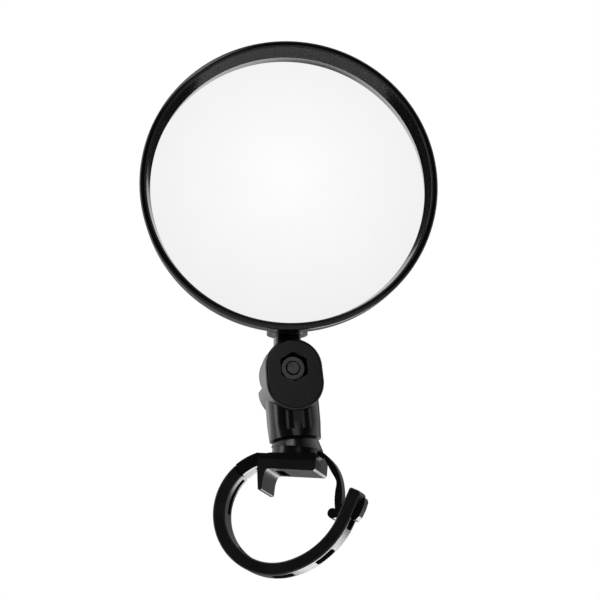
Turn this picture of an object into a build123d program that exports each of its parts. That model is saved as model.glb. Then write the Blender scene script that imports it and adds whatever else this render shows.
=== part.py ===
"""Round bicycle handlebar mirror on a swivelling two-joint arm with a hook-and-strap clamp.

Row frame, in millimetres: the origin is the centre of the handlebar, Y runs along the bar with
the mirror facing -Y, and Z points up. The clamp is modelled where it stands; the arm, the neck
and the head are each modelled in an upright frame of their own and placed as they are written.
"""

from build123d import *
from math import asin, cos, degrees, radians, sin
import os

# ---- driving dimensions -------------------------------------------------------------------
BAR_RADIUS = 11.1  # the nominal 22.2 mm handlebar that rests on the saddle
RUNNING = 0.05  # radial clearance of a pin or spigot that turns
FACE_GAP = 0.04  # gap between flat faces of pieces that move past each other

# ring of the strap: a tight arc, then a wider one, then a straight end
RING_CENTRE = (-5.45, 0.35)
RING_RADIUS = 13.4
SWEEP_RADIUS = 20.6
STRAP_THICK = 3.45
STRAP_WIDTH = 7.0
STRAP_TAIL = 8.1
ROOT_ANGLE = 117.0  # where the strap's eye sits between the cheeks
TIGHT_END = -78.0
SWEEP_END = -24.0
SLOT_LENGTH = 5.8
HOOK_SLOT_CENTRE = 0.5  # along the tail
SLOT_WIDTH = 4.6
SLOT_PITCH = 29.9  # degrees about the wider arc
FIRST_SLOT = -52.3
FREE_SLOTS = 3
EYE_WIDTH = 3.4  # the strap narrows to this between the cheeks
SHOULDER = 3.9  # reach of the strap's shoulders from its eye
CHEEK_REACH = 3.6
RELIEF_DEPTH = 1.2
RELIEF_SIDES = (-0.5, 1.9)
RELIEF_START = 134
RELIEF_SPAN = 44

# saddle and clamp block
CLAMP_DEPTH = 13.4
SADDLE_ROLL = 5.0  # the clamp is turned this far about the bar
SADDLE_LEFT = 8.8
SADDLE_RIGHT = 7.0
PAD_THICK = 2.6
BLOCK_TOP = 4.8
SKIRT_FOOT = 6.4
CHEEK_TOP_ANGLE = 106.0
CHEEK_INSIDE_ANGLE = 109.0
CHEEK_SLOT_ANGLE = 109.2
STRAP_PIN_RADIUS = 0.8
TONGUE_WIDTH = 3.7
TONGUE_ROOT = 1.55
TONGUE_FOOT = 4.5
PIN_COVER = 0.8

# swivel between clamp and arm
TURRET_TOP = (-0.5, 0.0, 20.0)
TURRET_TOP_RADIUS = 6.0
TURRET_SKIRT_RADIUS = 6.95
ARM_LEAN = 5.0
ARM_YAW = 24.0

# arm
ARM_WIDTH = 13.8
ARM_DEPTH = 13.2
BOLT_HEIGHT = 18.5
EAR_RADIUS = 7.7
EAR_LOW_RADIUS = 7.8
EAR_DROP = 4.0
EAR_TILT = 0.5
EAR_FRONT = -7.4
EAR_BACK = -0.3
LUG_CLEARANCE = 0.45
CRADLE_BACK = 6.1

# M4 hinge and pivot hardware
M4 = 2.0
NUT_FLATS = 7.0
NUT_THICK = 3.2
NUT_FACE = -5.6
NUT_CROWN = 3.05

# neck
LUG_RADIUS = 7.3
LUG_THICK = 5.8
LUG_CENTRE = 3.15
FLANGE_RADIUS = 5.5
FLANGE_UNDER = 11.1
FLANGE_THICK = 1.8
SPIGOT_RADIUS = 3.0
SPIGOT_LENGTH = 8.0
HINGE_TILT = 4.5

# head
MIRROR_RADIUS = 40.0
HEAD_HEIGHT = 49.3
HEAD_YAW = -6.0
GLASS_RADIUS = 37.4
GLASS_CURVE = 600.0
GLASS_THICK = 2.0
GLASS_EDGE = -7.8
BEZEL_FRONT = -14.0
BEZEL_BACK = -7.0

DISH_BACK = 2.4
SHELL = 1.8
BOSS_LENGTH = 13.0
BOSS_RADIUS = 5.1
BEZEL_SEAT = -8.4
GLASS_SEAT = GLASS_EDGE + GLASS_THICK + 0.6
GLASS_SPAN = degrees(asin(GLASS_RADIUS / GLASS_CURVE))
GLASS_CROWN = GLASS_EDGE - (GLASS_CURVE - (GLASS_CURVE**2 - GLASS_RADIUS**2) ** 0.5)

# small features
PIVOT_HEAD_RADIUS = 3.6
PIVOT_HEAD_THICK = 2.0
PIVOT_SEAT = 2.6
FANG_TIP = (8.1, 7.1)
FANG_LENGTH = 5.7
KNOB_CENTRE = (10.1, -0.25)
KNOB_RADIUS = 1.4
CRADLE_TOP = 14.6
FLUTE_RADIUS = 3.4
EAR_LOW = (EAR_DROP * sin(radians(EAR_TILT)), BOLT_HEIGHT - EAR_DROP * cos(radians(EAR_TILT)))
WASHER_THICK = 0.8
ROOT_START = 4.65
CHEEK_RUN_IN = 5.0
CHEEK_END_LIMIT = -9.9
BOLT_HEAD_RADIUS = 3.5
BOLT_HEAD_THICK = 2.6
STEM_WIDTH = 6.8
SPIGOT_SCREW_RADIUS = 1.2
O_RING_HEIGHT = FLANGE_UNDER + FLANGE_THICK + 3.5

# ---- places of the moving groups -----------------------------------------------------------
ARM = Location(TURRET_TOP, (0, -ARM_LEAN, 0)) * Location((0, 0, 0), (0, 0, ARM_YAW))
NECK = ARM * Location((0, LUG_CENTRE, BOLT_HEIGHT), (0, HINGE_TILT, 0))
HEAD = NECK * Location((0, 0, HEAD_HEIGHT), (0, 0, HEAD_YAW))

# the saddle's own frame: sketch X along its underside, sketch Y up through the block
SADDLE = Plane(
    origin=(-0.5, 0, BAR_RADIUS),
    x_dir=(cos(radians(SADDLE_ROLL)), 0, -sin(radians(SADDLE_ROLL))),
    z_dir=(0, -1, 0),
)


def polar(centre, radius, angle):
    """Point at a radius and an angle in degrees about a centre."""
    return (centre[0] + radius * cos(radians(angle)), centre[1] + radius * sin(radians(angle)))


def saddle_point(along, up):
    """Sketch point on Plane.XZ of a place in the saddle's own frame."""
    place = SADDLE.from_local_coords(Vector(along, up, 0))
    return (place.X, place.Z)


SWEEP_CENTRE = polar(RING_CENTRE, RING_RADIUS - SWEEP_RADIUS, TIGHT_END)
TAIL_START = polar(SWEEP_CENTRE, SWEEP_RADIUS, SWEEP_END)
STRAP_EYE = polar(RING_CENTRE, RING_RADIUS + STRAP_THICK / 2, ROOT_ANGLE)
TAIL_OUT = Vector(cos(radians(SWEEP_END)), 0, sin(radians(SWEEP_END)))

# the hook's frame: sketch X straight out through the strap's tail, sketch Y along the tail
HOOK = Plane(origin=(TAIL_START[0], 0, TAIL_START[1]), x_dir=TAIL_OUT, z_dir=(0, -1, 0))

os.makedirs("parts", exist_ok=True)


def save(builder, name, place=Location((0, 0, 0))):
    """Put a finished piece in its place, label it and write its file."""
    piece = builder.part.moved(place)
    piece.label = name
    export_step(piece, f"parts/{name}.step")


def washer(radius, bore, thick, plane):
    """Flat ring that stands on a plane."""
    with BuildPart() as ring:
        with BuildSketch(plane):
            Circle(radius)
            Circle(bore, mode=Mode.SUBTRACT)
        extrude(amount=thick)
    return ring


# ---- strap ---------------------------------------------------------------------------------
STRAP_OUTER = RING_RADIUS + STRAP_THICK
SWEEP_OUTER = SWEEP_RADIUS + STRAP_THICK
with BuildPart() as strap:
    with BuildSketch(Plane.XZ):
        with BuildLine():
            inner = CenterArc(RING_CENTRE, RING_RADIUS, ROOT_ANGLE, 360 + TIGHT_END - ROOT_ANGLE)
            inner_sweep = CenterArc(SWEEP_CENTRE, SWEEP_RADIUS, TIGHT_END, SWEEP_END - TIGHT_END)
            tail = Line(inner_sweep @ 1, inner_sweep @ 1 + (inner_sweep % 1) * STRAP_TAIL)
            outer = CenterArc(RING_CENTRE, STRAP_OUTER, ROOT_ANGLE, 360 + TIGHT_END - ROOT_ANGLE)
            outer_sweep = CenterArc(SWEEP_CENTRE, SWEEP_OUTER, TIGHT_END, SWEEP_END - TIGHT_END)
            outer_tail = Line(outer_sweep @ 1, outer_sweep @ 1 + (outer_sweep % 1) * STRAP_TAIL)
            Line(tail @ 1, outer_tail @ 1)
            Line(inner @ 0, outer @ 0)
        make_face()
        with Locations(STRAP_EYE):
            Circle(STRAP_THICK / 2)
    extrude(amount=STRAP_WIDTH / 2, both=True)
    fillet(strap.edges().filter_by(Axis.Y).sort_by(Axis.X)[-2], 0.6)
    fillet(strap.edges().filter_by(Axis.Y).sort_by(Axis.X)[-1], 1.1)
    for n in range(FREE_SLOTS):
        angle = FIRST_SLOT - n * SLOT_PITCH
        foot = polar(SWEEP_CENTRE, SWEEP_RADIUS, angle)
        outward = (cos(radians(angle)), 0, sin(radians(angle)))
        with BuildSketch(Plane(origin=(foot[0], 0, foot[1]), x_dir=(0, 1, 0), z_dir=outward)):
            RectangleRounded(SLOT_WIDTH, SLOT_LENGTH, 0.8)
        extrude(amount=2 * STRAP_THICK, both=True, mode=Mode.SUBTRACT)
    hook_slot = Plane(HOOK.location * Location((0, HOOK_SLOT_CENTRE, 0), (0, 90, 0)))
    with BuildSketch(hook_slot):
        RectangleRounded(SLOT_WIDTH, SLOT_LENGTH, 0.8)
    extrude(amount=2 * STRAP_THICK, both=True, mode=Mode.SUBTRACT)
    fillet(strap.faces().sort_by(Axis.Y)[0].outer_wire().edges(), 0.5)
    fillet(strap.faces().sort_by(Axis.Y)[-1].outer_wire().edges(), 0.5)
    # eye between the cheeks: shoulders cut round the pin, and the pin's hole
    for side in (-1, 1):
        with BuildSketch(Plane.XZ.offset(side * EYE_WIDTH / 2)):
            with Locations(STRAP_EYE):
                Circle(SHOULDER)
        extrude(amount=side * STRAP_WIDTH, mode=Mode.SUBTRACT)
    with BuildSketch(Plane.XZ):
        with Locations(STRAP_EYE):
            Circle(STRAP_PIN_RADIUS + RUNNING)
    extrude(amount=STRAP_WIDTH, both=True, mode=Mode.SUBTRACT)
    # relief groove along the inside, below the eye
    with BuildSketch(Plane.XZ.offset(-RELIEF_SIDES[1])):
        with BuildLine():
            deep = CenterArc(RING_CENTRE, RING_RADIUS + RELIEF_DEPTH, RELIEF_START, RELIEF_SPAN)
            open_side = CenterArc(RING_CENTRE, RING_RADIUS - 1, RELIEF_START, RELIEF_SPAN)
            Line(deep @ 0, open_side @ 0)
            Line(deep @ 1, open_side @ 1)
        make_face()
    extrude(amount=RELIEF_SIDES[1] - RELIEF_SIDES[0], mode=Mode.SUBTRACT)
save(strap, "strap")

# ---- clamp base: block, cheeks for the strap's eye, and turret --------------------------------
with BuildPart() as clamp_base:
    with BuildSketch(SADDLE):
        with BuildLine():
            Polyline(
                (-SADDLE_LEFT, PAD_THICK),
                (-SADDLE_LEFT, BLOCK_TOP - 1.3),
                (-5.8, BLOCK_TOP - 0.5),
                (6.5, BLOCK_TOP),
                (SADDLE_RIGHT, BLOCK_TOP - 0.5),
                (SADDLE_RIGHT, PAD_THICK),
                (-SADDLE_LEFT, PAD_THICK),
            )
        make_face()
    extrude(amount=CLAMP_DEPTH / 2, both=True)
    fillet(clamp_base.edges().filter_by(Axis.Y).sort_by(Axis.Z)[-2:], 0.3)
    # cheeks: a band level with the strap, rounded about the pin
    with BuildSketch(Plane.XZ):
        with BuildLine():
            crown = CenterArc(
                RING_CENTRE, STRAP_OUTER, CHEEK_TOP_ANGLE, ROOT_ANGLE - CHEEK_TOP_ANGLE
            )
            inside = CenterArc(
                RING_CENTRE, RING_RADIUS, CHEEK_INSIDE_ANGLE, ROOT_ANGLE - CHEEK_INSIDE_ANGLE
            )
            Line(crown @ 1, inside @ 1)
            Polyline(
                crown @ 0,
                saddle_point(-CHEEK_RUN_IN, BLOCK_TOP - 0.2),
                saddle_point(-CHEEK_RUN_IN, PAD_THICK),
                saddle_point(-SADDLE_LEFT - 0.1, PAD_THICK),
                inside @ 0,
            )
        make_face()
    extrude(amount=STRAP_WIDTH / 2, both=True)
    with BuildSketch(Plane.XZ) as cheek_end:
        with Locations(STRAP_EYE):
            Circle(CHEEK_REACH)
        with Locations(RING_CENTRE):
            Circle(STRAP_OUTER, mode=Mode.INTERSECT)
            Circle(RING_RADIUS, mode=Mode.SUBTRACT)
        with Locations((CHEEK_END_LIMIT, STRAP_EYE[1])):
            Rectangle(20, 20, align=(Align.MAX, Align.CENTER), mode=Mode.INTERSECT)
    extrude(amount=STRAP_WIDTH / 2, both=True)
    # turret: a plain foot, a lip, and a taper up to the arm
    turret_foot = Plane(SADDLE.location * Location((0, SKIRT_FOOT, 0), (-90, 0, 0)))
    turret_top = Plane(Location(TURRET_TOP, (0, -ARM_LEAN, 0)))
    with BuildSketch(turret_foot):
        Circle(TURRET_SKIRT_RADIUS - 0.3)
    extrude(amount=BLOCK_TOP - SKIRT_FOOT - 0.5)
    with BuildSketch(turret_foot):
        Circle(TURRET_SKIRT_RADIUS)
    with BuildSketch(turret_top):
        Circle(TURRET_TOP_RADIUS)
    loft()
    # slot and pin hole for the strap's eye, blind at the front
    with BuildSketch(Plane.XZ):
        with BuildLine():
            slot_out = CenterArc(RING_CENTRE, STRAP_OUTER + 2, CHEEK_SLOT_ANGLE, 40)
            slot_in = CenterArc(RING_CENTRE, RING_RADIUS - 2, CHEEK_SLOT_ANGLE, 40)
            Line(slot_out @ 0, slot_in @ 0)
            Line(slot_out @ 1, slot_in @ 1)
        make_face()
    extrude(amount=EYE_WIDTH / 2 + 0.12, both=True, mode=Mode.SUBTRACT)
    with BuildSketch(Plane.XZ.offset(STRAP_WIDTH / 2 - PIN_COVER)):
        with Locations(STRAP_EYE):
            Circle(STRAP_PIN_RADIUS)
    extrude(amount=-STRAP_WIDTH, mode=Mode.SUBTRACT)
    # pocket for the hook tongue's root
    with BuildSketch(SADDLE):
        with Locations((ROOT_START - 0.1, TONGUE_FOOT)):
            Rectangle(5.0, TONGUE_ROOT, align=(Align.MIN, Align.MIN))
    extrude(amount=TONGUE_WIDTH / 2, both=True, mode=Mode.SUBTRACT)
    # pivot screw: clearance hole up the swivel axis and a seat for its head
    with BuildSketch(turret_top.offset(1)):
        Circle(M4 + RUNNING)
    extrude(amount=-12, mode=Mode.SUBTRACT)
    with BuildSketch(turret_top.offset(-PIVOT_SEAT)):
        Circle(PIVOT_HEAD_RADIUS + 0.3)
    extrude(amount=-6, mode=Mode.SUBTRACT)
save(clamp_base, "clamp_base")

with BuildPart() as strap_pin:
    with BuildSketch(Plane.XZ.offset(STRAP_WIDTH / 2 - PIN_COVER)):
        with Locations(STRAP_EYE):
            Circle(STRAP_PIN_RADIUS)
    extrude(amount=PIN_COVER + 0.1 - STRAP_WIDTH)
    chamfer(strap_pin.edges(), 0.2)
save(strap_pin, "strap_pin")

# ---- saddle pad: flat seat on the bar, with the rigid left leg -------------------------------
with BuildPart() as saddle_pad:
    with BuildSketch(SADDLE):
        with BuildLine():
            Polyline(
                (-FANG_TIP[0], -FANG_LENGTH),
                (-SADDLE_LEFT, 0),
                (-SADDLE_LEFT, PAD_THICK),
                (SADDLE_RIGHT, PAD_THICK),
                (SADDLE_RIGHT, 0.5),
                (SADDLE_RIGHT - 0.5, 0),
                (-5.3, 0),
            )
            Spline(
                (-5.3, 0),
                (-6.6, -1.1),
                (-FANG_TIP[1], -FANG_LENGTH),
                tangents=((-1, 0), (-0.05, -1)),
            )
            Line((-FANG_TIP[1], -FANG_LENGTH), (-FANG_TIP[0], -FANG_LENGTH))
        make_face()
    extrude(amount=CLAMP_DEPTH / 2, both=True)
    tip = saddle_pad.edges().filter_by(Axis.Y).sort_by(Axis.Z)[:2]
    fillet(tip, 0.35)
    # core-out window beside the leg
    with BuildSketch(Plane(SADDLE.location * Location((0, -1, 0), (-90, 0, 0)))):
        with Locations((-3.7, 0.95)):
            RectangleRounded(2.6, 8.3, 0.5)
    extrude(amount=PAD_THICK + 2, mode=Mode.SUBTRACT)
save(saddle_pad, "saddle_pad")

# ---- hook tongue: springy leg, inward knob, stem through the strap and upturned head ----------
with BuildPart() as hook_tongue:
    with BuildSketch(Plane.XZ):
        with BuildLine():
            outer_edge = Spline(
                saddle_point(7.0, TONGUE_FOOT + TONGUE_ROOT),
                (8.7, 15.0),
                (10.65, 12.75),
                (11.98, 10.0),
                (12.6, 7.0),
                (12.7, 4.4),
                (12.3, 1.8),
            )
            inner_edge = Spline(
                (10.75, 1.0),
                (10.65, 3.1),
                (10.95, 6.3),
                (11.15, 8.0),
                (10.2, 10.1),
                (8.95, 12.4),
                (8.15, 13.9),
                saddle_point(7.1, TONGUE_FOOT),
            )
            Polyline(
                inner_edge @ 1,
                saddle_point(ROOT_START, TONGUE_FOOT),
                saddle_point(ROOT_START, TONGUE_FOOT + TONGUE_ROOT),
                outer_edge @ 0,
            )
            Polyline(outer_edge @ 1, (11.95, 0.3), (11.0, -1.0), inner_edge @ 0)
        make_face()
        with Locations(KNOB_CENTRE):
            Circle(KNOB_RADIUS)
    extrude(amount=TONGUE_WIDTH / 2, both=True)
    with BuildSketch(HOOK):
        with BuildLine():
            Polyline(
                (-1.6, 3.2), (3.58, 3.2), (3.65, 4.2), (3.8, 6.2), (4.1, 6.9), (4.5, 7.0), (5.0, 6.3),
                (5.2, 4.2), (5.1, 1.9), (4.7, 0.7), (4.1, 0.4), (3.58, 0.8), (-1.6, 0.8), (-1.6, 3.2),
            )
        make_face()
    extrude(amount=TONGUE_WIDTH / 2, both=True)
save(hook_tongue, "hook_tongue")

# ---- swivel hardware ----------------------------------------------------------------------------
pivot_washer = washer(5.0, M4 + 0.3, 0.5, Plane.XY)
save(pivot_washer, "pivot_washer", Location(TURRET_TOP, (0, -ARM_LEAN, 0)))

spring_washer = washer(3.7, M4 + 0.15, 0.9, Plane.XY.offset(-PIVOT_SEAT - 0.9))
save(spring_washer, "pivot_spring_washer", ARM)

with BuildPart() as pivot_screw:
    with BuildSketch(Plane.XY.offset(-PIVOT_SEAT - 0.9)):
        Circle(PIVOT_HEAD_RADIUS)
    extrude(amount=-PIVOT_HEAD_THICK)
    fillet(pivot_screw.edges().sort_by(Axis.Z)[0], 0.6)
    with BuildSketch(Plane.XY.offset(-PIVOT_SEAT - 0.9)):
        Circle(M4)
    extrude(amount=PIVOT_SEAT + 0.9 + 7.5)
    with BuildSketch(Plane.XY.offset(-PIVOT_SEAT - 0.9 - PIVOT_HEAD_THICK)):
        RegularPolygon(1.25, 6, major_radius=False)
    extrude(amount=1.1, mode=Mode.SUBTRACT)
save(pivot_screw, "pivot_screw", ARM)

with BuildPart() as pivot_insert:
    with BuildSketch(Plane.XY.offset(1.0)):
        Circle(3.1)
        Circle(M4, mode=Mode.SUBTRACT)
    extrude(amount=7.0)
save(pivot_insert, "pivot_insert", ARM)

# ---- arm: round foot, fluted body, ear with the nut pocket, cradle for the neck's lug -------------
with BuildPart() as arm_body:
    with BuildSketch(Plane.XY.offset(FACE_GAP)):
        Circle(ARM_WIDTH / 2)
    with BuildSketch(Plane.XY.offset(4.0)):
        RectangleRounded(ARM_WIDTH, ARM_DEPTH, 5.2)
    loft()
    with BuildSketch(Plane.XY.offset(4.0)):
        RectangleRounded(ARM_WIDTH, ARM_DEPTH, 5.2)
    extrude(amount=CRADLE_TOP - 4.0)
    # two flutes down the front, either side of a rib
    for side in (-1, 1):
        with BuildSketch(Plane.XY.offset(2.0)):
            with Locations((side * 3.1, -ARM_DEPTH / 2 - FLUTE_RADIUS + 0.55)):
                Circle(FLUTE_RADIUS)
        extrude(amount=CRADLE_TOP, taper=0, mode=Mode.SUBTRACT)
    # cradle behind the ear: the ear's outline carried to the back, cut clear of the neck's lug
    with BuildSketch(Plane.XZ.offset(-EAR_BACK)):
        with Locations(EAR_LOW):
            Circle(EAR_LOW_RADIUS)
        with Locations((0, CRADLE_TOP)):
            Rectangle(20, 10, align=(Align.CENTER, Align.MIN), mode=Mode.SUBTRACT)
    extrude(amount=EAR_BACK - CRADLE_BACK)
    with BuildSketch(Plane.XZ.offset(-EAR_BACK)):
        with Locations((0, BOLT_HEIGHT)):
            Circle(LUG_RADIUS + LUG_CLEARANCE)
    extrude(amount=-20, mode=Mode.SUBTRACT)
    # ear: egg-shaped plate, from its front face back to the lug
    with BuildSketch(Plane.XZ.offset(-EAR_BACK)):
        with Locations((0, BOLT_HEIGHT)):
            Circle(EAR_RADIUS)
        with Locations(EAR_LOW):
            Circle(EAR_LOW_RADIUS)
        make_hull()
    extrude(amount=EAR_BACK - EAR_FRONT)
    fillet(arm_body.faces().sort_by(Axis.Y)[0].edges(), 0.7)
    # hinge bolt hole and hex pocket for its nut
    with BuildSketch(Plane.XZ.offset(-EAR_FRONT)):
        with Locations((0, BOLT_HEIGHT)):
            RegularPolygon(NUT_FLATS / 2 + 0.1, 6, major_radius=False, rotation=30)
        fillet(vertices(), 0.5)
    extrude(amount=-(NUT_FACE + NUT_THICK - EAR_FRONT), mode=Mode.SUBTRACT)
    with BuildSketch(Plane.XZ.offset(-EAR_FRONT)):
        with Locations((0, BOLT_HEIGHT)):
            Circle(M4)
    extrude(amount=-10, mode=Mode.SUBTRACT)
    # recess for the washer, and a bore for the threaded insert
    with BuildSketch(Plane.XY):
        Circle(5.2)
    extrude(amount=0.55, mode=Mode.SUBTRACT)
    with BuildSketch(Plane.XY):
        Circle(3.1)
    extrude(amount=8.0, mode=Mode.SUBTRACT)
save(arm_body, "arm_body", ARM)

with BuildPart() as hinge_nut:
    with BuildSketch(Plane.XZ.offset(-NUT_FACE - NUT_THICK)):
        with Locations((0, BOLT_HEIGHT)):
            RegularPolygon(NUT_FLATS / 2, 6, major_radius=False, rotation=30)
            Circle(M4, mode=Mode.SUBTRACT)
    extrude(amount=NUT_THICK)
    with BuildSketch(Plane.XZ.offset(-NUT_FACE)):
        with Locations((0, BOLT_HEIGHT)):
            Circle(NUT_CROWN)
    extrude(amount=-NUT_THICK, taper=-50, mode=Mode.INTERSECT)
save(hinge_nut, "hinge_nut", ARM)

LUG_BACK = LUG_CENTRE + LUG_THICK / 2
with BuildPart() as hinge_bolt:
    with BuildSketch(Plane.XZ.offset(-LUG_BACK - FACE_GAP - WASHER_THICK)):
        with Locations((0, BOLT_HEIGHT)):
            Circle(BOLT_HEAD_RADIUS)
    extrude(amount=-BOLT_HEAD_THICK)
    fillet(hinge_bolt.edges().sort_by(Axis.Y)[-1], 0.5)
    with BuildSketch(Plane.XZ.offset(-LUG_BACK - FACE_GAP - WASHER_THICK)):
        with Locations((0, BOLT_HEIGHT)):
            Circle(M4)
    extrude(amount=LUG_BACK + FACE_GAP + WASHER_THICK - NUT_FACE + 0.4)
    chamfer(hinge_bolt.edges().sort_by(Axis.Y)[0], 0.4)
    with BuildSketch(
        Plane.XZ.offset(-LUG_BACK - FACE_GAP - WASHER_THICK - BOLT_HEAD_THICK)
    ):
        with Locations((0, BOLT_HEIGHT)):
            RegularPolygon(1.25, 6, major_radius=False)
    extrude(amount=1.6, mode=Mode.SUBTRACT)
save(hinge_bolt, "hinge_bolt", ARM)

with BuildPart() as hinge_bolt_washer:
    with BuildSketch(Plane.XZ.offset(-LUG_BACK - FACE_GAP)):
        with Locations((0, BOLT_HEIGHT)):
            Circle(4.5)
            Circle(M4 + 0.15, mode=Mode.SUBTRACT)
    extrude(amount=-WASHER_THICK)
save(hinge_bolt_washer, "hinge_bolt_washer", ARM)

# ---- neck: round lug, stem, flange and spigot -------------------------------------------------------
with BuildPart() as neck:
    with BuildSketch(Plane.XZ):
        Circle(LUG_RADIUS)
    extrude(amount=LUG_THICK / 2, both=True)
    fillet(neck.edges().filter_by(GeomType.CIRCLE), 0.4)
    with BuildSketch(Plane.XY.offset(3)):
        RectangleRounded(STEM_WIDTH, LUG_THICK, 1.2)
    extrude(amount=FLANGE_UNDER - 3)
    with BuildSketch(Plane.XY.offset(FLANGE_UNDER)):
        Circle(FLANGE_RADIUS)
    extrude(amount=FLANGE_THICK)
    fillet(neck.edges().filter_by(GeomType.CIRCLE).sort_by(Axis.Z)[-2:], 0.35)
    with BuildSketch(Plane.XY.offset(FLANGE_UNDER + FLANGE_THICK)):
        Circle(SPIGOT_RADIUS)
    extrude(amount=SPIGOT_LENGTH)
    with BuildSketch(Plane.XZ):
        Circle(M4 + RUNNING)
    extrude(amount=LUG_THICK, both=True, mode=Mode.SUBTRACT)
    with BuildSketch(Plane.XY.offset(FLANGE_UNDER + FLANGE_THICK + SPIGOT_LENGTH)):
        Circle(SPIGOT_SCREW_RADIUS)
    extrude(amount=-6, mode=Mode.SUBTRACT)
    with BuildSketch(Plane.XY.offset(O_RING_HEIGHT - 0.6)):
        Circle(SPIGOT_RADIUS + 1)
        Circle(SPIGOT_RADIUS - 0.9, mode=Mode.SUBTRACT)
    extrude(amount=1.2, mode=Mode.SUBTRACT)
save(neck, "neck", NECK)

with BuildPart() as friction_washer:
    with BuildSketch(Plane.XZ.offset(LUG_THICK / 2)):
        Circle(5.4)
        Circle(M4 + 0.3, mode=Mode.SUBTRACT)
    extrude(amount=LUG_CENTRE - LUG_THICK / 2 - EAR_BACK - FACE_GAP)
save(friction_washer, "friction_washer", NECK)

with BuildPart() as o_ring:
    with BuildSketch(Plane.XZ):
        with Locations((SPIGOT_RADIUS - 0.45, O_RING_HEIGHT)):
            Circle(0.42)
    revolve(axis=Axis.Z)
save(o_ring, "spigot_o_ring", NECK)

SPIGOT_TOP = FLANGE_UNDER + FLANGE_THICK + SPIGOT_LENGTH
spigot_washer = washer(4.2, SPIGOT_SCREW_RADIUS + 0.1, 0.6, Plane.XY.offset(SPIGOT_TOP))
save(spigot_washer, "spigot_washer", NECK)

with BuildPart() as spigot_screw:
    with BuildSketch(Plane.XY.offset(SPIGOT_TOP + 0.6)):
        Circle(2.4)
    extrude(amount=1.6)
    fillet(spigot_screw.edges().sort_by(Axis.Z)[-1], 0.5)
    with BuildSketch(Plane.XY.offset(SPIGOT_TOP + 0.6)):
        Circle(SPIGOT_SCREW_RADIUS)
    extrude(amount=-6)
save(spigot_screw, "spigot_screw", NECK)

# ---- head: dished back shell, bezel, convex glass and its tape ----------------------------------------
BOSS_UNDER = FLANGE_UNDER + FLANGE_THICK + FACE_GAP - HEAD_HEIGHT
CHAMBER_FLOOR = SPIGOT_TOP - FACE_GAP - HEAD_HEIGHT
with BuildPart() as mirror_housing:
    with BuildSketch(Plane.XY):
        with BuildLine():
            Line((0, DISH_BACK - SHELL), (14, DISH_BACK - SHELL))
            Spline(
                (14, DISH_BACK - SHELL), (26, -1.7), (34.4, GLASS_SEAT),
                tangents=((1, 0), (0.8, -0.6)),
            )
            Polyline(
                (34.4, GLASS_SEAT), (37.5, GLASS_SEAT), (37.5, BEZEL_SEAT), (39.0, BEZEL_SEAT),
                (39.0, -6.9), (38.7, -5.6), (37.7, -4.4),
            )
            Spline(
                (37.7, -4.4), (28, -0.1), (14, DISH_BACK),
                tangents=((-0.75, 0.66), (-1, 0)),
            )
            Line((14, DISH_BACK), (0, DISH_BACK))
            Line((0, DISH_BACK), (0, DISH_BACK - SHELL))
        make_face()
    revolve(axis=Axis.Y)
    # boss round the spigot, level with the bezel's foot, fading into the dish
    with BuildSketch(Plane.XY.offset(BOSS_UNDER)):
        Circle(BOSS_RADIUS)
    extrude(amount=BOSS_LENGTH)
    with BuildSketch(Plane.XY.offset(BOSS_UNDER + BOSS_LENGTH)):
        Circle(BOSS_RADIUS)
    extrude(amount=4, taper=45)
    # seat cut back for the flange, bore, and the chamber that takes the screw and washer
    with BuildSketch(Plane.XY.offset(BOSS_UNDER)):
        Circle(FLANGE_RADIUS + 0.3)
    extrude(amount=-8, mode=Mode.SUBTRACT)
    with BuildSketch(Plane.XY.offset(BOSS_UNDER)):
        Circle(SPIGOT_RADIUS + RUNNING)
    extrude(amount=SPIGOT_LENGTH + 1, mode=Mode.SUBTRACT)
    with BuildSketch(Plane.XY.offset(CHAMBER_FLOOR)):
        with Locations((0, -5)):
            SlotOverall(19, 9.2, rotation=90)
    extrude(amount=4.2, mode=Mode.SUBTRACT)
save(mirror_housing, "mirror_housing", HEAD)

with BuildPart() as mirror_bezel:
    with BuildSketch(Plane.XY):
        with BuildLine():
            Polyline(
                (39.1, BEZEL_BACK), (39.6, BEZEL_BACK), (39.95, BEZEL_BACK - 0.5),
                (MIRROR_RADIUS, -9.5),
            )
            Spline(
                (MIRROR_RADIUS, -9.5), (39.9, -12.2), (39.2, -13.6), (38.5, BEZEL_FRONT),
                tangents=((0, -1), (-1, 0.05)),
            )
            Polyline(
                (38.5, BEZEL_FRONT), (38.1, -13.85), (37.05, -8.3), (36.9, GLASS_EDGE - 0.08),
                (37.5, GLASS_EDGE - 0.08), (37.5, BEZEL_SEAT - 0.08), (39.1, BEZEL_SEAT - 0.08),
                (39.1, BEZEL_BACK),
            )
        make_face()
    revolve(axis=Axis.Y)
save(mirror_bezel, "mirror_bezel", HEAD)

# a convex disc: both faces bulge towards the rider
with BuildPart() as mirror_glass:
    with BuildSketch(Plane.XY):
        with BuildLine():
            centre = GLASS_CROWN + GLASS_CURVE
            front = CenterArc((0, centre), GLASS_CURVE, -90, GLASS_SPAN)
            back = CenterArc((0, centre + GLASS_THICK), GLASS_CURVE, -90, GLASS_SPAN)
            Line(front @ 0, back @ 0)
            Line(front @ 1, back @ 1)
        make_face()
    revolve(axis=Axis.Y)
save(mirror_glass, "mirror_glass", HEAD)

with BuildPart() as glass_tape:
    with BuildSketch(Plane.XZ.offset(-GLASS_SEAT)):
        Circle(36.2)
        Circle(34.8, mode=Mode.SUBTRACT)
    extrude(amount=GLASS_SEAT - GLASS_EDGE - GLASS_THICK)
save(glass_tape, "glass_tape", HEAD)
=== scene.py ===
"""Looks of the bicycle handlebar mirror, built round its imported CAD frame. Blender 4.5, in metres."""

from math import cos, pi, radians, sin, sqrt

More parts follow.
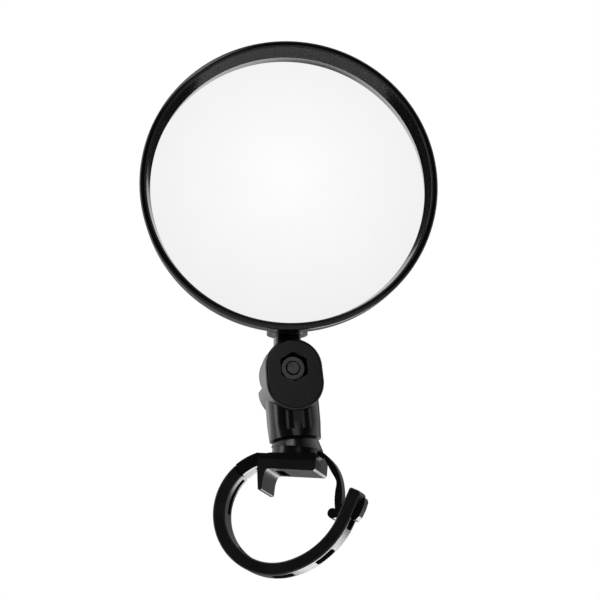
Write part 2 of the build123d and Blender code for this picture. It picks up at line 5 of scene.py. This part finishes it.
import bmesh
import bpy
import numpy
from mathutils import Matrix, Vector


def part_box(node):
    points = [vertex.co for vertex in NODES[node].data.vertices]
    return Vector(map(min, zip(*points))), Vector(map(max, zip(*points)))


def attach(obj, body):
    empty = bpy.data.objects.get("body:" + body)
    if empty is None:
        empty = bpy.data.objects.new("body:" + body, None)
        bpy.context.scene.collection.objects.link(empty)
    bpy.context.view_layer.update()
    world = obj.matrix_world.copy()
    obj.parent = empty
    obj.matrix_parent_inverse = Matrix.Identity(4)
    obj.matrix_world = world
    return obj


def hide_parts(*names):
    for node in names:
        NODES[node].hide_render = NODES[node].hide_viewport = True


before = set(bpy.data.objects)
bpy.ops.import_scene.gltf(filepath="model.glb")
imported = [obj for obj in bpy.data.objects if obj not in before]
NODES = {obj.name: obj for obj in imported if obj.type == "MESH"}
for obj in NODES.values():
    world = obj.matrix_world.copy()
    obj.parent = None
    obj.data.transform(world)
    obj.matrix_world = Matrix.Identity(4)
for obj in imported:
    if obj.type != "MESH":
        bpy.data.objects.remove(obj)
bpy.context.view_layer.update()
MM = 0.001

# ---- camera ----------------------------------------------------------------------------------
CAMERA_AZIMUTH = radians(14.0)
CAMERA_ELEVATION = radians(-11.6)
CAMERA_DISTANCE = 1.2
CAMERA_LENS = 269.0
CAMERA_TARGET = Vector((0.0008, 0.0, 0.05806))

# ---- head: radii and depths in mm, depths along the mirror's axis from the bezel's front edge ------
LATHE_STEPS = 360
BEZEL_PROFILE = (
    (39.1, 7.0), (39.2, 6.97), (39.36, 6.7), (39.98, 1.3), (39.97, 0.85), (39.88, 0.55), (39.68, 0.33),
    (39.4, 0.2), (38.85, 0.06), (38.62, 0.0), (38.42, 0.01), (38.26, 0.12), (38.16, 0.35), (38.08, 0.7),
    (37.05, 5.7), (36.98, 5.95), (36.92, 6.12), (37.5, 6.12), (37.5, 5.52), (39.1, 5.52), (39.1, 7.0),
)
GLASS_RADIUS = 37.4
GLASS_CURVE = 600.0
GLASS_EDGE = 6.2
GLASS_THICK = 2.0
GLASS_GRIND = 0.25
GLASS_RINGS = 40
SHARP_ANGLE = radians(32.0)
WELD = 0.001 * MM

# ---- surroundings ------------------------------------------------------------------------------
FLOOR_HEIGHT = -0.72
FLOOR_HALF = 3.0
FRONT_OF_ROOM = (0.2, -0.97, -0.1)
WHITE_SIDE = (1.0, 0.975, 0.97)
DARK_SIDE = (0.03, 0.03, 0.032)
BACKDROP = 0.2
STRAP_MIDDLE = (Vector(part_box("strap")[0]) + Vector(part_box("strap")[1])) / 2

# azimuth and elevation in degrees, distance, width and height in metres, power in watts, target
LAMPS = {
    "mirror_box": (21.7, 17.9, 1.6, 0.66, 0.66, 0.365, CAMERA_TARGET),
    "left_box": (-62.0, 12.0, 1.2, 0.4, 1.0, 3.0, CAMERA_TARGET),
    "top_box": (-25.0, 55.0, 1.3, 0.7, 0.4, 3.0, CAMERA_TARGET),
    "strap_card": (173.0, -17.0, 0.3, 0.15, 0.1, 0.16, STRAP_MIDDLE),
    "bezel_box": (66.0, -43.0, 1.2, 0.3, 0.3, 0.35, CAMERA_TARGET),
}
MIRROR_BOX_SPREAD = radians(110.0)


def node_input(node, name, value):
    """Set an input of a node by its name."""
    node.inputs[name].default_value = value


def new_material(name):
    """A material with an empty principled shader, and its node tree's parts."""
    material = bpy.data.materials.new(name)
    material.use_nodes = True
    tree = material.node_tree
    shader = tree.nodes["Principled BSDF"]
    return material, tree, shader


def object_coordinates(tree):
    """The coordinates that every pattern here is laid out in: metres in the piece's own frame."""
    return tree.nodes.new("ShaderNodeTexCoord").outputs["Object"]


def noise(tree, coordinates, size, detail=3.0, roughness=0.55):
    """Noise whose grains are about a size in metres across."""
    node = tree.nodes.new("ShaderNodeTexNoise")
    node_input(node, "Scale", 1.0 / size)
    node_input(node, "Detail", detail)
    node_input(node, "Roughness", roughness)
    tree.links.new(coordinates, node.inputs["Vector"])
    return node.outputs["Fac"]


def remap(tree, value, low, high, to_low, to_high):
    """A value carried from one range to another, and held inside it."""
    node = tree.nodes.new("ShaderNodeMapRange")
    node.clamp = True
    for key, number in (
        ("From Min", low),
        ("From Max", high),
        ("To Min", to_low),
        ("To Max", to_high),
    ):
        node_input(node, key, number)
    tree.links.new(value, node.inputs["Value"])
    return node.outputs["Result"]


def blend_colours(tree, factor, first, second):
    """Two colours mixed by a factor."""
    node = tree.nodes.new("ShaderNodeMix")
    node.data_type = "RGBA"
    tree.links.new(factor, node.inputs["Factor"])
    node.inputs["A"].default_value = (*first, 1.0)
    node.inputs["B"].default_value = (*second, 1.0)
    return node.outputs["Result"]


def bump(tree, height, depth, strength=1.0, below=None):
    """A bump whose full height is a depth in metres, laid over another bump if there is one."""
    node = tree.nodes.new("ShaderNodeBump")
    node_input(node, "Distance", depth)
    node_input(node, "Strength", strength)
    tree.links.new(height, node.inputs["Height"])
    if below is not None:
        tree.links.new(below, node.inputs["Normal"])
    return node.outputs["Normal"]


def moulded_plastic(name, dark, light, rough_low, rough_high, grain, grain_depth, ripple_depth):
    """Moulded plastic: a fine tool grain, slow sink ripples and smoother patches, with sizes in mm."""
    material, tree, shader = new_material(name)
    place = object_coordinates(tree)
    patches = noise(tree, place, 9 * MM, detail=4.0)
    specks = noise(tree, place, 0.35 * MM, detail=2.0)
    fine = noise(tree, place, grain * MM, detail=2.0)
    ripples = noise(tree, place, 14 * MM, detail=1.0)
    colour = blend_colours(tree, remap(tree, specks, 0.35, 0.75, 0.0, 1.0), dark, light)
    tree.links.new(colour, shader.inputs["Base Color"])
    tree.links.new(remap(tree, patches, 0.3, 0.7, rough_low, rough_high), shader.inputs["Roughness"])
    slow = bump(tree, ripples, ripple_depth * MM)
    tree.links.new(bump(tree, fine, grain_depth * MM, below=slow), shader.inputs["Normal"])
    node_input(shader, "IOR", 1.5)
    return material


def machined_metal(name, dark, light, rough_low, rough_high, scratch_depth):
    """Plated or blackened metal with fine marks, a depth in mm, and dulled patches."""
    material, tree, shader = new_material(name)
    place = object_coordinates(tree)
    patches = noise(tree, place, 1.6 * MM, detail=4.0)
    marks = noise(tree, place, 0.12 * MM, detail=3.0, roughness=0.7)
    colour = blend_colours(tree, remap(tree, patches, 0.35, 0.7, 0.0, 1.0), dark, light)
    tree.links.new(colour, shader.inputs["Base Color"])
    tree.links.new(remap(tree, patches, 0.3, 0.7, rough_low, rough_high), shader.inputs["Roughness"])
    tree.links.new(bump(tree, marks, scratch_depth * MM), shader.inputs["Normal"])
    node_input(shader, "Metallic", 1.0)
    return material


def mirror_coating(name):
    """Silvered glass with slow waves and the faintest patches of haze."""
    material, tree, shader = new_material(name)
    place = object_coordinates(tree)
    haze = noise(tree, place, 6 * MM, detail=3.0)
    waves = noise(tree, place, 20 * MM, detail=1.0)
    colour = blend_colours(tree, haze, (0.915, 0.91, 0.91), (0.945, 0.94, 0.94))
    tree.links.new(colour, shader.inputs["Base Color"])
    tree.links.new(remap(tree, haze, 0.3, 0.8, 0.02, 0.06), shader.inputs["Roughness"])
    tree.links.new(bump(tree, waves, 0.002 * MM), shader.inputs["Normal"])
    node_input(shader, "Metallic", 1.0)
    return material


# ---- materials, and the carried-over nodes that wear them ------------------------------------------
BLACK_ABS = moulded_plastic(
    "black_abs", (0.003, 0.003, 0.0032), (0.006, 0.0058, 0.006), 0.16, 0.27, 0.16, 0.004, 0.02
)
BLACK_GLOSS = moulded_plastic(
    "black_abs_gloss", (0.002, 0.002, 0.0022), (0.004, 0.004, 0.0042), 0.1, 0.17, 0.2, 0.001, 0.01
)
BLACK_TPU = moulded_plastic(
    "black_tpu", (0.005, 0.0048, 0.005), (0.009, 0.0085, 0.0088), 0.24, 0.36, 0.12, 0.006, 0.03
)
BLACK_RUBBER = moulded_plastic(
    "black_rubber", (0.005, 0.0046, 0.0046), (0.009, 0.0082, 0.0082), 0.3, 0.4, 0.12, 0.005, 0.03
)
BLACK_STEEL = machined_metal("black_steel", (0.10, 0.10, 0.104), (0.17, 0.17, 0.175), 0.2, 0.36, 0.003)
ZINC_STEEL = machined_metal("zinc_steel", (0.50, 0.51, 0.52), (0.66, 0.67, 0.69), 0.22, 0.4, 0.003)
BRASS = machined_metal("brass", (0.55, 0.39, 0.14), (0.72, 0.52, 0.22), 0.2, 0.38, 0.003)
NYLON = moulded_plastic(
    "nylon", (0.62, 0.60, 0.54), (0.72, 0.70, 0.65), 0.35, 0.5, 0.15, 0.004, 0.01
)
NITRILE = moulded_plastic(
    "nitrile", (0.01, 0.01, 0.01), (0.02, 0.02, 0.02), 0.45, 0.6, 0.1, 0.004, 0.01
)
FOAM = moulded_plastic(
    "foam_tape", (0.02, 0.02, 0.02), (0.06, 0.06, 0.06), 0.8, 0.95, 0.3, 0.05, 0.05
)
MIRROR = mirror_coating("mirror")

FINISHES = {
    "clamp_base": BLACK_ABS,
    "saddle_pad": BLACK_RUBBER,
    "hook_tongue": BLACK_ABS,
    "arm_body": BLACK_ABS,
    "neck": BLACK_ABS,
    "mirror_housing": BLACK_ABS,
    "strap": BLACK_TPU,
    "strap_pin": BLACK_STEEL,
    "hinge_nut": BLACK_STEEL,
    "hinge_bolt": BLACK_STEEL,
    "hinge_bolt_washer": ZINC_STEEL,
    "pivot_screw": ZINC_STEEL,
    "pivot_spring_washer": ZINC_STEEL,
    "spigot_screw": ZINC_STEEL,
    "spigot_washer": ZINC_STEEL,
    "pivot_insert": BRASS,
    "pivot_washer": NYLON,
    "friction_washer": NYLON,
    "spigot_o_ring": NITRILE,
    "glass_tape": FOAM,
}

for name, material in FINISHES.items():
    mesh = NODES[name].data
    mesh.materials.clear()
    mesh.materials.append(material)


# ---- pieces turned about the mirror's axis ---------------------------------------------------------
def disc_frame(node):
    """Centre of a turned node's front edge, the axis that points to its back, and two crossways axes."""
    mesh = NODES[node].data
    points = numpy.array([NODES[node].matrix_world @ vertex.co for vertex in mesh.vertices])
    middle = points.mean(axis=0)
    axis = numpy.linalg.eigh(numpy.cov((points - middle).T))[1][:, 0]
    axis *= 1.0 if axis[1] > 0 else -1.0
    front = ((points - middle) @ axis).min()
    back_axis = Vector(axis)
    across = Vector((0.0, 0.0, 1.0)).cross(back_axis).normalized()
    return Vector(middle) + back_axis * front, back_axis, across, back_axis.cross(across)


def turned(name, profile, place, material, body, slot, *nodes):
    """A piece turned from (radius, depth) pairs in mm, which stands for CAD nodes."""
    origin, axis, across, up = place
    shape = bmesh.new()
    rings = []
    for radius, depth in profile:
        centre = origin + axis * depth * MM
        if radius == 0.0:
            rings.append([shape.verts.new(centre)])
            continue
        ring = []
        for step in range(LATHE_STEPS):
            turn = 2 * pi * step / LATHE_STEPS
            ring.append(shape.verts.new(centre + (across * cos(turn) + up * sin(turn)) * radius * MM))
        rings.append(ring)
    for first, second in zip(rings, rings[1:]):
        for step in range(LATHE_STEPS):
            following = (step + 1) % LATHE_STEPS
            corners = [first[step % len(first)], first[following % len(first)]]
            corners += [second[following % len(second)], second[step % len(second)]]
            shape.faces.new(list(dict.fromkeys(corners)))
    bmesh.ops.remove_doubles(shape, verts=shape.verts, dist=WELD)
    bmesh.ops.recalc_face_normals(shape, faces=shape.faces)
    mesh = bpy.data.meshes.new(name)
    shape.to_mesh(mesh)
    shape.free()
    mesh.shade_smooth()
    mesh.set_sharp_from_angle(angle=SHARP_ANGLE)
    mesh.materials.append(material)
    piece = bpy.data.objects.new(name, mesh)
    bpy.context.scene.collection.objects.link(piece)
    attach(piece, body)
    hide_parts(*nodes)
    return piece


def glass_profile():
    """Front and back of the convex glass from its middle out, with a ground edge."""
    profile = []
    crown = GLASS_EDGE - (GLASS_CURVE - sqrt(GLASS_CURVE**2 - GLASS_RADIUS**2))
    radii = [GLASS_RADIUS * step / GLASS_RINGS for step in range(GLASS_RINGS)]
    radii.append(GLASS_RADIUS - GLASS_GRIND)
    for radius in radii:
        profile.append((radius, crown + GLASS_CURVE - sqrt(GLASS_CURVE**2 - radius**2)))
    profile.append((GLASS_RADIUS, GLASS_EDGE + GLASS_GRIND))
    for radius, depth in reversed(profile[:-1]):
        profile.append((radius, depth + GLASS_THICK))
    return profile


MIRROR_PLACE = disc_frame("mirror_bezel")
turned("bezel_ring", BEZEL_PROFILE, MIRROR_PLACE, BLACK_GLOSS, "head", "black_abs", "mirror_bezel")
turned("convex_glass", glass_profile(), MIRROR_PLACE, MIRROR, "head", "mirror", "mirror_glass")


# ---- studio ------------------------------------------------------------------------------------
def studio_world():
    """White to the camera. What falls on the object is dark in front of it and dim straight behind."""
    world = bpy.data.worlds.new("studio")
    bpy.context.scene.world = world
    world.use_nodes = True
    tree = world.node_tree
    tree.nodes.clear()
    output = tree.nodes.new("ShaderNodeOutputWorld")
    mix = tree.nodes.new("ShaderNodeMixShader")
    rays = tree.nodes.new("ShaderNodeLightPath")
    seen = tree.nodes.new("ShaderNodeBackground")
    node_input(seen, "Color", (1.0, 1.0, 1.0, 1.0))
    node_input(seen, "Strength", 1.0)
    lit = tree.nodes.new("ShaderNodeBackground")
    node_input(lit, "Strength", 1.0)
    direction = tree.nodes.new("ShaderNodeTexCoord").outputs["Generated"]
    front = tree.nodes.new("ShaderNodeVectorMath")
    front.operation = "DOT_PRODUCT"
    front.inputs[1].default_value = FRONT_OF_ROOM
    tree.links.new(direction, front.inputs[0])
    frontness = remap(tree, front.outputs["Value"], -0.25, 0.45, 0.0, 1.0)
    shade = blend_colours(tree, frontness, WHITE_SIDE, DARK_SIDE)
    axes = tree.nodes.new("ShaderNodeSeparateXYZ")
    tree.links.new(direction, axes.inputs["Vector"])
    tree.links.new(remap(tree, axes.outputs["Y"], 0.78, 0.9, 1.0, BACKDROP), lit.inputs["Strength"])
    tree.links.new(shade, lit.inputs["Color"])
    tree.links.new(rays.outputs["Is Camera Ray"], mix.inputs["Fac"])
    tree.links.new(lit.outputs["Background"], mix.inputs[1])
    tree.links.new(seen.outputs["Background"], mix.inputs[2])
    tree.links.new(mix.outputs["Shader"], output.inputs["Surface"])


def softbox(name, azimuth, elevation, distance, width, height, power, target):
    """A flat lamp that faces a target from an azimuth and elevation, unseen by the camera."""
    lamp = bpy.data.lights.new(name, "AREA")
    lamp.shape = "RECTANGLE"
    lamp.size = width
    lamp.size_y = height
    lamp.energy = power
    piece = bpy.data.objects.new(name, lamp)
    bpy.context.scene.collection.objects.link(piece)
    a = radians(azimuth)
    e = radians(elevation)
    away = Vector((sin(a) * cos(e), -cos(a) * cos(e), sin(e)))
    piece.location = target + away * distance
    piece.rotation_euler = away.to_track_quat("Z", "Y").to_euler()
    piece.visible_camera = False


def floor():
    """Plain pale floor, well below the object."""
    mesh = bpy.data.meshes.new("floor")
    h = FLOOR_HALF
    corners = [(-h, -h, FLOOR_HEIGHT), (h, -h, FLOOR_HEIGHT), (h, h, FLOOR_HEIGHT), (-h, h, FLOOR_HEIGHT)]
    mesh.from_pydata(corners, [], [(0, 1, 2, 3)])
    piece = bpy.data.objects.new("floor", mesh)
    bpy.context.scene.collection.objects.link(piece)
    material, tree, shader = new_material("floor")
    node_input(shader, "Base Color", (0.8, 0.8, 0.8, 1.0))
    node_input(shader, "Roughness", 0.8)
    mesh.materials.append(material)


studio_world()
floor()
for name, setting in LAMPS.items():
    softbox(name, *setting)
mirror_box = bpy.data.lights["mirror_box"]
mirror_box.shape = "ELLIPSE"
mirror_box.spread = MIRROR_BOX_SPREAD

camera_data = bpy.data.cameras.new("camera")
camera_data.lens = CAMERA_LENS
camera_data.sensor_width = 36.0
camera = bpy.data.objects.new("camera", camera_data)
bpy.context.scene.collection.objects.link(camera)
toward_camera = Vector(
    (
        sin(CAMERA_AZIMUTH) * cos(CAMERA_ELEVATION),
        -cos(CAMERA_AZIMUTH) * cos(CAMERA_ELEVATION),
        sin(CAMERA_ELEVATION),
    )
)
camera.location = CAMERA_TARGET + toward_camera * CAMERA_DISTANCE
camera.rotation_euler = toward_camera.to_track_quat("Z", "Y").to_euler()
bpy.context.scene.camera = camera
bpy.context.scene.view_settings.view_transform = "Standard"
